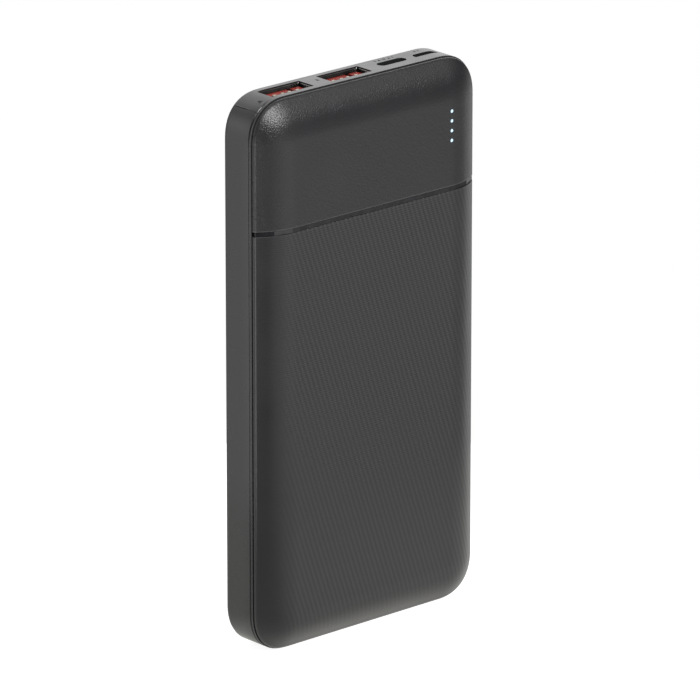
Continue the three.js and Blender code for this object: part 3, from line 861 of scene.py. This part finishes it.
BUTTON_LOW, BUTTON_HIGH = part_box("power_button")
BUTTON_Z = (BUTTON_LOW.z + BUTTON_HIGH.z) / 2 / MM
BUTTON_WIDTH = 3.4
BUTTON_LENGTH = 9.0
BUTTON_GAP = 0.1
OPENING_RADIUS = BUTTON_WIDTH / 2 + 0.09
BUTTON_STEPS = 10

side_band = make_piece(
    "side_band_shell",
    *swept_band(90 + SEAM_ANGLE + SEAM_HALF, 360 + SEAM_ANGLE - SEAM_HALF),
    material("band"),
    sharp=BAND_SHARP,
)
opening = rounded_loop(
    BUTTON_WIDTH + 2 * BUTTON_GAP, BUTTON_LENGTH + 2 * BUTTON_GAP, OPENING_RADIUS, BUTTON_STEPS
)
cut(side_band, *rings_solid([
    sideways(opening, HALF_WIDTH - WALL - CUT_REACH, 0, BUTTON_Z),
    sideways(opening, HALF_WIDTH + CUT_REACH, 0, BUTTON_Z),
]))
bevel(side_band, BAND_BEVEL, BEVEL_ANGLE, BAND_SHARP)
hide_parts("side_band")

# ---- Top panel with its mouths and marks


def middle_of(node):
    """The middle of a CAD node's box."""
    low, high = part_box(node)
    return (low + high) / 2 / MM


USB_A_PLACES = [middle_of("usb_a_1_shell").x, middle_of("usb_a_2_shell").x]
USB_C_X = middle_of("usb_c_shell").x
MICRO_X = middle_of("micro_usb_shell").x
MOUTH_TOP = HEIGHT + CUT_REACH
MOUTH_LOW = HEIGHT - WALL - CUT_REACH
LIP_DEPTH = 0.33
# The mouths as (width, length from front to rear, corner radius). A wide one has a pocket for
# its socket below the panel's thin lip.
WIDE_POCKET = (13.3, 5.92, 0.5)
WIDE_MOUTH = (12.7, 5.32, 0.3)
USB_C_MOUTH = (8.4, 2.6, 1.29)
SOCKET_STEPS = 5
OVAL_STEPS = 10


def micro_loop():
    """The micro-USB mouth in plan, with its two rear corners cut off."""
    half, front, rear = 3.45, -0.95, 0.95
    side, back = 0.75, 0.85
    return [
        (-half, front), (half, front), (half, rear - back), (half - side, rear),
        (side - half, rear), (-half, rear - back),
    ]


def capsule(length, width, turned=False):
    """A short bar with round ends, along x or, when turned, along y."""
    size = (width, length) if turned else (length, width)
    return rounded_loop(*size, width / 2 - NEARLY_ROUND, SOCKET_STEPS)


def wedge(length, width):
    """A small triangle that points to the rear."""
    return [(-width / 2, -length / 2), (width / 2, -length / 2), (0, length / 2)]


# Generic marks in place of the real lettering: loop, x, y.
MARKS = [
    (wedge(0.8, 0.9), -29.0, -1.3),
    (capsule(1.0, 0.28), -29.0, -2.0),
    (wedge(0.8, 0.9), -9.9, 0.6),
    (capsule(1.0, 0.28), -9.9, -0.1),
    (capsule(0.95, 0.3, True), 10.2, 2.75),
    (wedge(0.9, 0.9), 11.4, 2.75),
    (capsule(1.1, 0.3), 12.9, 3.0),
    (capsule(1.1, 0.3), 12.9, 2.45),
    (wedge(0.9, 0.9), 14.4, 2.75),
    (capsule(0.95, 0.3, True), 15.6, 2.75),
    (wedge(0.8, 0.8), 22.4, 2.7),
    (capsule(0.8, 0.3, True), 23.5, 2.7),
]
# The marks' recess, and how the ink in it falls short of its sides, its floor and the face.
MARK_DEPTH = 0.06
INK_SCALE = 0.97
INK_FLOOR_GAP = 0.005
INK_SUNK = 0.015


def top_height(x):
    """The height of the band's top face at a place across its width."""
    over_x = max(abs(x) - CORNER_X, 0)
    over_z = (CORNER_RADIUS ** CORNER_POWER - over_x ** CORNER_POWER) ** (1 / CORNER_POWER)
    return MID_Z + CORNER_Z + over_z


def mark_solids(scale, sunk, rise):
    """The marks as prisms between two depths below and above the panel's face."""
    solids = []
    for loop, x, y in MARKS:
        base = [(x + a * scale, y + b * scale) for a, b in loop]
        rings = [[(a, b, top_height(a) + level) for a, b in base] for level in (-sunk, rise)]
        solids.append(rings_solid(rings))
    return merge(*solids)


port_panel = make_piece(
    "port_panel_shell",
    *swept_band(SEAM_ANGLE + SEAM_HALF, 90 + SEAM_ANGLE - SEAM_HALF, beads=True),
    material("band"),
    sharp=BAND_SHARP,
)
mouths = []
for x in USB_A_PLACES:
    pocket = rounded_loop(*WIDE_POCKET, SOCKET_STEPS)
    mouth = rounded_loop(*WIDE_MOUTH, SOCKET_STEPS)
    mouths.append(rings_solid([
        upright(pocket, x, 0, MOUTH_LOW),
        upright(pocket, x, 0, HEIGHT - LIP_DEPTH),
        upright(mouth, x, 0, HEIGHT - LIP_DEPTH),
        upright(mouth, x, 0, MOUTH_TOP),
    ]))
for loop, x in ((rounded_loop(*USB_C_MOUTH, OVAL_STEPS), USB_C_X), (micro_loop(), MICRO_X)):
    mouths.append(rings_solid([upright(loop, x, 0, MOUTH_LOW), upright(loop, x, 0, MOUTH_TOP)]))
cut(port_panel, *merge(*mouths))
bevel(port_panel, BAND_BEVEL, BEVEL_ANGLE, BAND_SHARP)
cut(port_panel, *mark_solids(1.0, MARK_DEPTH, CUT_REACH), sharp=BAND_SHARP)
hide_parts("port_panel")

marks = make_piece(
    "port_marks",
    *mark_solids(INK_SCALE, MARK_DEPTH - INK_FLOOR_GAP, -INK_SUNK),
    material("mark"),
)

# ---- Accent strip

STRIP_INSET = EDGE_INSET + 0.3
STRIP_SUNK = 0.12
STRIP_THICKNESS = 0.72
STRIP_EDGE = 0.05
STRIP_GAP = 0.02


def strip_loop(depth):
    """The strip's outline in plan, with its facets' corners at a depth below the cover."""
    half = []
    for inset in (STRIP_INSET, FOLD_INSET, FLAT_INSET):
        x = HALF_WIDTH - inset
        half.append((x, float(forward_of(x, MID_Z)) - depth))
    front = [(x, -y) for x, y in half] + [(-x, -y) for x, y in reversed(half)]
    back = [(x, y - depth + STRIP_THICKNESS) for x, y in reversed(front)]
    return front + back


strip_low, strip_high = STRIP_LOW + STRIP_GAP, STRIP_HIGH - STRIP_GAP
strip_face, strip_end = strip_loop(STRIP_SUNK), strip_loop(STRIP_SUNK + STRIP_EDGE)
strip = make_piece(
    "accent_strip_inlay",
    *rings_solid([
        upright(strip_end, 0, 0, strip_low),
        upright(strip_face, 0, 0, strip_low + STRIP_EDGE),
        upright(strip_face, 0, 0, strip_high - STRIP_EDGE),
        upright(strip_end, 0, 0, strip_high),
    ]),
    material("gloss"),
    sharp=3,
)
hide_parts("accent_strip")

# ---- Power button

# The cap's rounded rim and hollow face, as (how far it is drawn in, depth below the band's face).
CAP_PROFILE = [
    (0.0, 0.3), (0.03, 0.16), (0.1, 0.06), (0.22, 0.01), (0.34, 0.0), (0.5, 0.02), (0.8, 0.12),
    (1.15, 0.18), (1.5, 0.2),
]
# The flange behind the wall as (width, length, corner radius), and the stem that meets it.
FLANGE = (5.0, 10.6, 2.4)
FLANGE_X = HALF_WIDTH - WALL - 0.3
FLANGE_THICKNESS = 0.5
STEM_RADIUS = 0.9
STEM_OVERLAP = 0.1


def button_loop(shrink, x):
    """The cap's outline, drawn in by a length, at a place along x."""
    width, length = BUTTON_WIDTH - 2 * shrink, BUTTON_LENGTH - 2 * shrink
    loop = rounded_loop(width, length, BUTTON_WIDTH / 2 - shrink - NEARLY_ROUND, BUTTON_STEPS)
    return sideways(loop, x, 0, BUTTON_Z)


flange_loop = rounded_loop(*FLANGE, BUTTON_STEPS)
cap_rings = [
    sideways(flange_loop, FLANGE_X - FLANGE_THICKNESS, 0, BUTTON_Z),
    sideways(flange_loop, FLANGE_X, 0, BUTTON_Z),
    button_loop(0.0, FLANGE_X),
]
cap_rings += [button_loop(shrink, HALF_WIDTH - depth) for shrink, depth in CAP_PROFILE]
cap = rings_solid(cap_rings)
stem_loop = round_loop(STEM_RADIUS, HOLE_STEPS)
stem = rings_solid([
    sideways(stem_loop, BUTTON_LOW.x / MM, 0, BUTTON_Z),
    sideways(stem_loop, FLANGE_X - FLANGE_THICKNESS + STEM_OVERLAP, 0, BUTTON_Z),
])
button = make_piece("power_button_cap", *merge(cap, stem), material("button"), body="button")
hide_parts("power_button")

# ---- Light guide

# A pin's rounded end, as (share of its radius, distance back from the tip).
PIN_END = [(1.0, 0.16), (0.92, 0.08), (0.72, 0.03), (0.4, 0.005)]
PIN_STEPS = 20
SPINE_HALF = 1.1
SPINE_FRONT = -6.6
SPINE_REAR = -5.4

guide_low, guide_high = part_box("light_guide")
pins = []
for z in LED_HEIGHTS:
    tip = guide_low.y / MM
    rings = [facing(round_loop(PIN_RADIUS, PIN_STEPS), LED_X, guide_high.y / MM, z)]
    for share, back in PIN_END:
        rings.append(facing(round_loop(PIN_RADIUS * share, PIN_STEPS), LED_X, tip + back, z))
    pins.append(rings_solid(rings))
spine = box_shape(
    (LED_X - SPINE_HALF, SPINE_FRONT, guide_low.z / MM),
    (LED_X + SPINE_HALF, SPINE_REAR, guide_high.z / MM),
)
guide = make_piece("light_guide_pins", *merge(spine, *pins), material("light"))
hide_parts("light_guide")

# ---- Wide USB sockets

# The shell's outer and inner faces and their chamfers at the mouth, as (width, length from front
# to rear, corner radius).
SHELL_OUTER = (13.1, 5.72, 0.45)
SHELL_OUTER_LIP = (12.98, 5.6, 0.4)
SHELL_INNER_LIP = (12.66, 5.28, 0.34)
SHELL_INNER = (12.5, 5.12, 0.26)
SHELL_METAL = 0.3
OUTER_CHAMFER = 0.1
INNER_CHAMFER = 0.14
SHELL_GAP = 0.03
TONGUE_REAR = 1.9
TONGUE_FRONT = 0.05
TONGUE_BEVEL = 0.12
TONGUE_BEVEL_ANGLE = 60
TIP_RISE = 0.3


def shell_shape(x, high, low):
    """A wide socket's shell, open at the top and closed at the bottom."""
    outer, outer_lip, inner_lip, inner = [
        rounded_loop(*size, SOCKET_STEPS)
        for size in (SHELL_OUTER, SHELL_OUTER_LIP, SHELL_INNER_LIP, SHELL_INNER)
    ]
    return rings_solid([
        upright(outer, x, 0, low),
        upright(outer, x, 0, high - OUTER_CHAMFER),
        upright(outer_lip, x, 0, high),
        upright(inner_lip, x, 0, high),
        upright(inner, x, 0, high - INNER_CHAMFER),
        upright(inner, x, 0, low + SHELL_METAL),
    ])


def tongue_shape(x, low, high):
    """A wide socket's tongue: a blade with one notch in its end, on a root block."""
    half, foot = 5.55, 1.2
    notch_left, notch_right, notch_depth = 1.75, 2.85, 2.5
    root_half, root_reach, root_height = 5.9, 2.2, 1.7
    outline = [
        (x - half, low + foot), (x + half, low + foot), (x + half, high),
        (x + notch_right, high), (x + notch_right, high - notch_depth),
        (x + notch_left, high - notch_depth), (x + notch_left, high), (x - half, high),
    ]
    blade = rings_solid([
        [(px, TONGUE_FRONT, pz) for px, pz in outline],
        [(px, TONGUE_REAR, pz) for px, pz in outline],
    ])
    root_low = (x - root_half, -root_reach, low)
    root_high = (x + root_half, root_reach, low + root_height)
    return merge(blade, box_shape(root_low, root_high))


def contact_shape(x, low, high):
    """A sprung strip whose rounded bow stands forward and whose tip hooks over the tongue."""
    half = 0.45
    rear = TONGUE_FRONT - 0.1
    front = rear - 0.3
    bow_low = high - 3.1 - 1.1
    bow_length, bow_depth, bow_steps = 2.2, 0.35, 8
    profile = [(rear, low), (front, low), (front, bow_low)]
    for i in range(bow_steps + 1):
        t = i / bow_steps
        profile.append((front - bow_depth * math.sin(math.pi * t) ** 2, bow_low + bow_length * t))
    tip = high + TIP_RISE
    hook = TONGUE_FRONT + 0.12
    profile += [(front, tip - 0.05), (front + 0.1, tip + 0.1), (hook, tip + 0.1)]
    profile += [(hook, tip + 0.02), (rear, tip + 0.02)]
    return rings_solid([
        [(x - half, y, z) for y, z in profile],
        [(x + half, y, z) for y, z in profile],
    ])


for port, x in enumerate(USB_A_PLACES, 1):
    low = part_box(f"usb_a_{port}_shell")[0]
    shell = make_piece(
        f"usb_a_{port}_shell_steel",
        *shell_shape(x, HEIGHT - LIP_DEPTH - SHELL_GAP, low.z / MM),
        material("steel"),
    )
    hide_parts(f"usb_a_{port}_shell")
    low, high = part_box(f"usb_a_{port}_tongue")
    tongue = make_piece(
        f"usb_a_{port}_tongue_insulator",
        *tongue_shape(x, low.z / MM, high.z / MM),
        material("tongue"),
    )
    bevel(tongue, TONGUE_BEVEL, TONGUE_BEVEL_ANGLE)
    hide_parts(f"usb_a_{port}_tongue")
    for i in (1, 2, 3, 4):
        node = f"usb_a_{port}_contact_{i}"
        low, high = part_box(node)
        contact = make_piece(
            f"{node}_spring",
            *contact_shape((low.x + high.x) / 2 / MM, low.z / MM, high.z / MM),
            material("contact"),
        )
        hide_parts(node)

# ---- CAD pieces that keep their own mesh

KEPT = {
    "black_plastic": ["switch_plunger", "usb_c_tongue", "micro_usb_tongue"],
    "steel": ["switch_body", "usb_c_shell", "micro_usb_shell", "board_screw_1", "board_screw_2"],
    "led": [f"charge_led_{i}" for i in (1, 2, 3, 4)],
    "board": ["main_board", "protection_board"],
    "chip": ["charger_chip", "controller_chip"],
    "ferrite": ["inductor"],
    "capacitor": ["capacitor_1", "capacitor_2"],
    "pouch": ["battery_cell_front", "battery_cell_rear"],
    "nickel": ["positive_tab", "negative_tab"],
    "red_wire": ["positive_lead"],
    "black_wire": ["negative_lead"],
    "foam": ["foam_pad_front", "foam_pad_rear"],
}
for look, names in KEPT.items():
    for name in names:
        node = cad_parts[name]
        node.data.materials.clear()
        node.data.materials.append(material(look))

# ---- Floor, light and camera

FLOOR_RADIUS = 130
FLOOR_STEPS = 96
FLOOR_Z = -0.05
# How strongly the floor glows: for the camera, elsewhere for reflections, in the darker patch
# before the left edge, and in addition beside the foot. The tint is what reflections see.
SEEN_GLOW = 0.92
FLOOR_GLOW = 0.5
PATCH_GLOW = 0.03
FOOT_GLOW = 0.47
FLOOR_TINT = (1.0, 0.99, 0.92)
# Where the patch sets in, and where the foot's glow fades out.
PATCH_X = (-8, -28)
PATCH_Y = (-4, -24)
FOOT_Y = (8, 12.5)
FOOT_X = (14, 34)
FOOT_ENDS = 0.4
WHITE = (1.0, 1.0, 1.0)


def make_floor():
    """A pale disc under the object, whose glow differs for the camera and for reflections."""
    points = upright(round_loop(FLOOR_RADIUS, FLOOR_STEPS), 0, 0, FLOOR_Z)
    mesh = new_mesh("floor", points, [list(range(FLOOR_STEPS))])
    floor = add("floor", mesh)
    look = Look("pale_floor", (0.35, 0.35, 0.35), 0.7)
    look.vary(look.noise(60.0), 0.02, 0.03)
    seen = look.node("ShaderNodeLightPath").outputs["Is Camera Ray"]
    look.feed("Emission Color", look.blend(seen, FLOOR_TINT, WHITE))
    x, y = look.axes()[:2]
    patch = look.times(look.fade(x, *PATCH_X), look.fade(y, *PATCH_Y))
    foot = look.fade(look.math("ABSOLUTE", y), *FOOT_Y, FOOT_GLOW, 0.0)
    inward = look.fade(look.math("ABSOLUTE", x), *FOOT_X, 1.0, FOOT_ENDS)
    foot = look.times(foot, inward)
    glow = look.math("ADD", look.span(patch, 0, 1, FLOOR_GLOW, PATCH_GLOW), foot)
    lifted = look.times(seen, look.math("SUBTRACT", SEEN_GLOW, glow))
    glow = look.math("ADD", glow, lifted)
    look.feed("Emission Strength", glow)
    mesh.materials.append(look.material)


# Soft panels of light around the object: azimuth from the front towards +X and elevation in
# degrees, brightness, and how tightly each one is gathered.
WIDE = 14
MIDDLE = 30
NARROW = 1500
PANELS = [
    (-120, -22, 2.45, MIDDLE),
    (-150, -22, 0.74, MIDDLE),
    (-90, -22, 0.82, MIDDLE),
    (-60, -22, 6.3, MIDDLE),
    (0, -22, 1.35, MIDDLE),
    (30, -22, 1.68, MIDDLE),
    (60, -22, 0.45, MIDDLE),
    (90, -22, 1.4, MIDDLE),
    (120, -22, 0.85, MIDDLE),
    (180, -22, 0.9, MIDDLE),
    (-90, -60, 1.4, WIDE),
    (-45, -60, 5.0, WIDE),
    (45, -60, 6.5, WIDE),
    (-135, 10, 2.2, WIDE),
    (135, 10, 1.7, WIDE),
    (45, 40, 1.5, WIDE),
    (135, 40, 1.8, WIDE),
    (180, 40, 2.3, WIDE),
    (-60, 65, 2.9, WIDE),
    (0, 65, 0.7, WIDE),
    (17.5, -18.4, 2.0, NARROW),
]


def toward(azimuth, elevation):
    """The direction of an azimuth and elevation in degrees."""
    a, e = math.radians(azimuth), math.radians(elevation)
    return Vector((math.sin(a) * math.cos(e), -math.cos(a) * math.cos(e), math.sin(e)))


def make_world():
    """The studio: white where the camera looks past the object, and soft panels otherwise."""
    world = bpy.data.worlds.new("studio")
    bpy.context.scene.world = world
    world.use_nodes = True
    tree = world.node_tree
    tree.nodes.clear()
    node, link = tree.nodes.new, tree.links.new

    def math_node(operation, first, second):
        """One step of arithmetic in the world's nodes."""
        made = node("ShaderNodeMath")
        made.operation = operation
        link(first, made.inputs[0])
        if isinstance(second, bpy.types.NodeSocket):
            link(second, made.inputs[1])
        else:
            made.inputs[1].default_value = second
        return made.outputs[0]

    direction = node("ShaderNodeTexCoord").outputs["Generated"]
    total = None
    for azimuth, elevation, brightness, gather in PANELS:
        facing_panel = node("ShaderNodeVectorMath")
        facing_panel.operation = "DOT_PRODUCT"
        link(direction, facing_panel.inputs[0])
        facing_panel.inputs[1].default_value = toward(azimuth, elevation)
        near = math_node("MAXIMUM", facing_panel.outputs["Value"], 0.0)
        glow = math_node("MULTIPLY", math_node("POWER", near, gather), brightness)
        total = glow if total is None else math_node("ADD", total, glow)
    lit = node("ShaderNodeBackground")
    link(total, lit.inputs["Strength"])
    plain = node("ShaderNodeBackground")
    plain.inputs["Color"].default_value = (1, 1, 1, 1)
    choose = node("ShaderNodeMixShader")
    rays = node("ShaderNodeLightPath")
    link(rays.outputs["Is Camera Ray"], choose.inputs["Fac"])
    link(lit.outputs[0], choose.inputs[1])
    link(plain.outputs[0], choose.inputs[2])
    output = node("ShaderNodeOutputWorld")
    link(choose.outputs[0], output.inputs["Surface"])


def soft_box(name, azimuth, elevation, distance, size, power):
    """A square area light that faces the middle of the object."""
    light = bpy.data.lights.new(name, "AREA")
    light.shape = "SQUARE"
    light.size = size
    light.energy = power
    lamp = add(name, light)
    away = toward(azimuth, elevation)
    lamp.location = Vector((0, 0, MID_Z * MM)) + away * distance
    lamp.rotation_euler = away.to_track_quat("Z", "Y").to_euler()


CAMERA_AZIMUTH = -41.78
CAMERA_ELEVATION = 18.42
CAMERA_DISTANCE = 1.8088
CAMERA_DROP = 0.0004
CAMERA_TARGET = Vector((0, 0, MID_Z * MM - CAMERA_DROP))
CAMERA_LENS = 398.8


def make_camera():
    """The camera of the photo's view, aimed close to the middle of the object."""
    data = bpy.data.cameras.new("camera")
    data.lens = CAMERA_LENS
    data.sensor_width = 36
    data.clip_start = 0.05
    data.clip_end = 100
    camera = add("camera", data)
    back = toward(CAMERA_AZIMUTH, CAMERA_ELEVATION)
    camera.location = CAMERA_TARGET + back * CAMERA_DISTANCE
    camera.rotation_euler = (-back).to_track_quat("-Z", "Y").to_euler()
    bpy.context.scene.camera = camera


make_floor()
make_world()
soft_box("key", azimuth=3, elevation=35, distance=1.0, size=0.38, power=9.0)
make_camera()
bpy.context.scene.view_settings.view_transform = "Standard"
